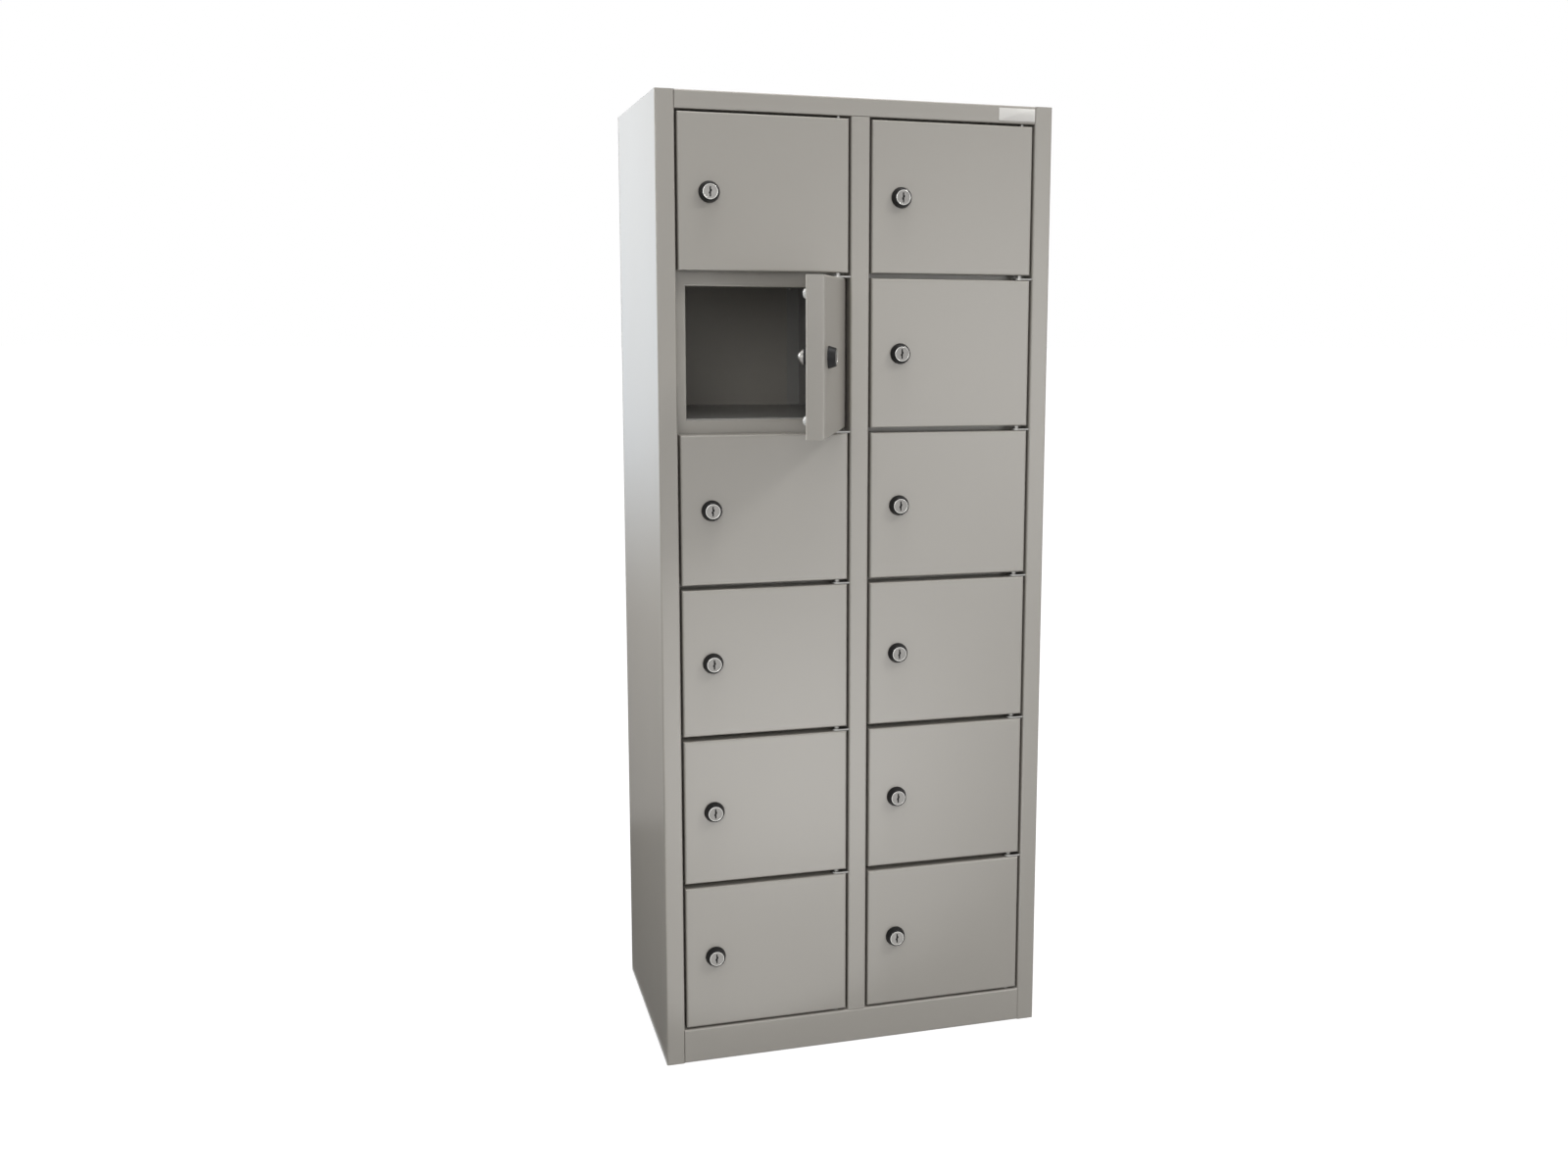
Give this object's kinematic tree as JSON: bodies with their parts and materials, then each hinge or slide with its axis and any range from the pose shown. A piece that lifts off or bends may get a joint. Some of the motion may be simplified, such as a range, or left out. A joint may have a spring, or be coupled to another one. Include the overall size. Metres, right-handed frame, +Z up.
{
  "type": "phone locker cabinet",
  "caption": "Tall folded-steel locker cabinet for phones, with columns of small inset pan doors that swing on pivot pins and carry cam locks.",
  "frame": {"origin": "middle of the cabinet's footprint, on the floor", "axes": "+Z up, the doors face -Y, +X to the right when seen from the front"},
  "size_m": [0.4, 0.3919, 0.965],
  "materials": {
    "powder_coat": "fine orange-peel powder coat, satin",
    "powder_coat_inside": "satin powder coat inside the compartments",
    "zinc_plate": "bright zinc plating",
    "rivet_steel": "painted over with the cabinet",
    "black_lock": "black, semi-gloss",
    "chrome_lock": "satin chrome face, zinc cam",
    "clear_bumper": "clear soft bumper"
  },
  "bodies": {
    "cabinet": {"side_left": "powder_coat", "side_right": "powder_coat", "back_panel": "powder_coat", "top_panel": "powder_coat", "base_panel": "powder_coat", "centre_post": "powder_coat", "centre_partition": "powder_coat", "shelves": "powder_coat_inside", "cross_rails": "powder_coat", "hinge_tabs": "zinc_plate", "hinge_pins": "zinc_plate", "rivets": "rivet_steel"},
    "door_left_1": {"door_left_1": "powder_coat", "lock_body_left_1": "black_lock", "bumpers_left_1": "clear_bumper"},
    "lock_left_1": {"lock_core_left_1": "chrome_lock"},
    "door_left_2": {"door_left_2": "powder_coat", "lock_body_left_2": "black_lock", "bumpers_left_2": "clear_bumper"},
    "lock_left_2": {"lock_core_left_2": "chrome_lock"},
    "door_left_3": {"door_left_3": "powder_coat", "lock_body_left_3": "black_lock", "bumpers_left_3": "clear_bumper"},
    "lock_left_3": {"lock_core_left_3": "chrome_lock"},
    "door_left_4": {"door_left_4": "powder_coat", "lock_body_left_4": "black_lock", "bumpers_left_4": "clear_bumper"},
    "lock_left_4": {"lock_core_left_4": "chrome_lock"},
    "door_left_5": {"door_left_5": "powder_coat", "lock_body_left_5": "black_lock", "bumpers_left_5": "clear_bumper"},
    "lock_left_5": {"lock_core_left_5": "chrome_lock"},
    "door_left_6": {"door_left_6": "powder_coat", "lock_body_left_6": "black_lock", "bumpers_left_6": "clear_bumper"},
    "lock_left_6": {"lock_core_left_6": "chrome_lock"},
    "door_right_1": {"door_right_1": "powder_coat", "lock_body_right_1": "black_lock", "bumpers_right_1": "clear_bumper"},
    "lock_right_1": {"lock_core_right_1": "chrome_lock"},
    "door_right_2": {"door_right_2": "powder_coat", "lock_body_right_2": "black_lock", "bumpers_right_2": "clear_bumper"},
    "lock_right_2": {"lock_core_right_2": "chrome_lock"},
    "door_right_3": {"door_right_3": "powder_coat", "lock_body_right_3": "black_lock", "bumpers_right_3": "clear_bumper"},
    "lock_right_3": {"lock_core_right_3": "chrome_lock"},
    "door_right_4": {"door_right_4": "powder_coat", "lock_body_right_4": "black_lock", "bumpers_right_4": "clear_bumper"},
    "lock_right_4": {"lock_core_right_4": "chrome_lock"},
    "door_right_5": {"door_right_5": "powder_coat", "lock_body_right_5": "black_lock", "bumpers_right_5": "clear_bumper"},
    "lock_right_5": {"lock_core_right_5": "chrome_lock"},
    "door_right_6": {"door_right_6": "powder_coat", "lock_body_right_6": "black_lock", "bumpers_right_6": "clear_bumper"},
    "lock_right_6": {"lock_core_right_6": "chrome_lock"}
  },
  "joints": [
    {"name": "door_left_1_swing", "type": "hinge", "parent": "cabinet", "child": "door_left_1", "pos_m": [-0.0208, -0.118, 0.87175], "axis": [0, 0, 1], "range_deg": [0, 110]},
    {"name": "lock_left_1_turn", "type": "hinge", "parent": "door_left_1", "child": "lock_left_1", "pos_m": [-0.1492, -0.125, 0.87175], "axis": [0, -1, 0], "range_deg": [0, 180]},
    {"name": "door_left_2_swing", "type": "hinge", "parent": "cabinet", "child": "door_left_2", "pos_m": [-0.0208, -0.118, 0.71965], "axis": [0, 0, 1], "range_deg": [-68, 42]},
    {"name": "lock_left_2_turn", "type": "hinge", "parent": "door_left_2", "child": "lock_left_2", "pos_m": [-0.06241, -0.23967, 0.71965], "axis": [0.9272, -0.3746, 0], "range_deg": [0, 180]},
    {"name": "door_left_3_swing", "type": "hinge", "parent": "cabinet", "child": "door_left_3", "pos_m": [-0.0208, -0.118, 0.56755], "axis": [0, 0, 1], "range_deg": [0, 110]},
    {"name": "lock_left_3_turn", "type": "hinge", "parent": "door_left_3", "child": "lock_left_3", "pos_m": [-0.1492, -0.125, 0.56755], "axis": [0, -1, 0], "range_deg": [0, 180]},
    {"name": "door_left_4_swing", "type": "hinge", "parent": "cabinet", "child": "door_left_4", "pos_m": [-0.0208, -0.118, 0.41545], "axis": [0, 0, 1], "range_deg": [0, 110]},
    {"name": "lock_left_4_turn", "type": "hinge", "parent": "door_left_4", "child": "lock_left_4", "pos_m": [-0.1492, -0.125, 0.41545], "axis": [0, -1, 0], "range_deg": [0, 180]},
    {"name": "door_left_5_swing", "type": "hinge", "parent": "cabinet", "child": "door_left_5", "pos_m": [-0.0208, -0.118, 0.26335], "axis": [0, 0, 1], "range_deg": [0, 110]},
    {"name": "lock_left_5_turn", "type": "hinge", "parent": "door_left_5", "child": "lock_left_5", "pos_m": [-0.1492, -0.125, 0.26335], "axis": [0, -1, 0], "range_deg": [0, 180]},
    {"name": "door_left_6_swing", "type": "hinge", "parent": "cabinet", "child": "door_left_6", "pos_m": [-0.0208, -0.118, 0.11125], "axis": [0, 0, 1], "range_deg": [0, 110]},
    {"name": "lock_left_6_turn", "type": "hinge", "parent": "door_left_6", "child": "lock_left_6", "pos_m": [-0.1492, -0.125, 0.11125], "axis": [0, -1, 0], "range_deg": [0, 180]},
    {"name": "door_right_1_swing", "type": "hinge", "parent": "cabinet", "child": "door_right_1", "pos_m": [0.1702, -0.118, 0.87175], "axis": [0, 0, 1], "range_deg": [0, 110]},
    {"name": "lock_right_1_turn", "type": "hinge", "parent": "door_right_1", "child": "lock_right_1", "pos_m": [0.0418, -0.125, 0.87175], "axis": [0, -1, 0], "range_deg": [0, 180]},
    {"name": "door_right_2_swing", "type": "hinge", "parent": "cabinet", "child": "door_right_2", "pos_m": [0.1702, -0.118, 0.71965], "axis": [0, 0, 1], "range_deg": [0, 110]},
    {"name": "lock_right_2_turn", "type": "hinge", "parent": "door_right_2", "child": "lock_right_2", "pos_m": [0.0418, -0.125, 0.71965], "axis": [0, -1, 0], "range_deg": [0, 180]},
    {"name": "door_right_3_swing", "type": "hinge", "parent": "cabinet", "child": "door_right_3", "pos_m": [0.1702, -0.118, 0.56755], "axis": [0, 0, 1], "range_deg": [0, 110]},
    {"name": "lock_right_3_turn", "type": "hinge", "parent": "door_right_3", "child": "lock_right_3", "pos_m": [0.0418, -0.125, 0.56755], "axis": [0, -1, 0], "range_deg": [0, 180]},
    {"name": "door_right_4_swing", "type": "hinge", "parent": "cabinet", "child": "door_right_4", "pos_m": [0.1702, -0.118, 0.41545], "axis": [0, 0, 1], "range_deg": [0, 110]},
    {"name": "lock_right_4_turn", "type": "hinge", "parent": "door_right_4", "child": "lock_right_4", "pos_m": [0.0418, -0.125, 0.41545], "axis": [0, -1, 0], "range_deg": [0, 180]},
    {"name": "door_right_5_swing", "type": "hinge", "parent": "cabinet", "child": "door_right_5", "pos_m": [0.1702, -0.118, 0.26335], "axis": [0, 0, 1], "range_deg": [0, 110]},
    {"name": "lock_right_5_turn", "type": "hinge", "parent": "door_right_5", "child": "lock_right_5", "pos_m": [0.0418, -0.125, 0.26335], "axis": [0, -1, 0], "range_deg": [0, 180]},
    {"name": "door_right_6_swing", "type": "hinge", "parent": "cabinet", "child": "door_right_6", "pos_m": [0.1702, -0.118, 0.11125], "axis": [0, 0, 1], "range_deg": [0, 110]},
    {"name": "lock_right_6_turn", "type": "hinge", "parent": "door_right_6", "child": "lock_right_6", "pos_m": [0.0418, -0.125, 0.11125], "axis": [0, -1, 0], "range_deg": [0, 180]}
  ]
}
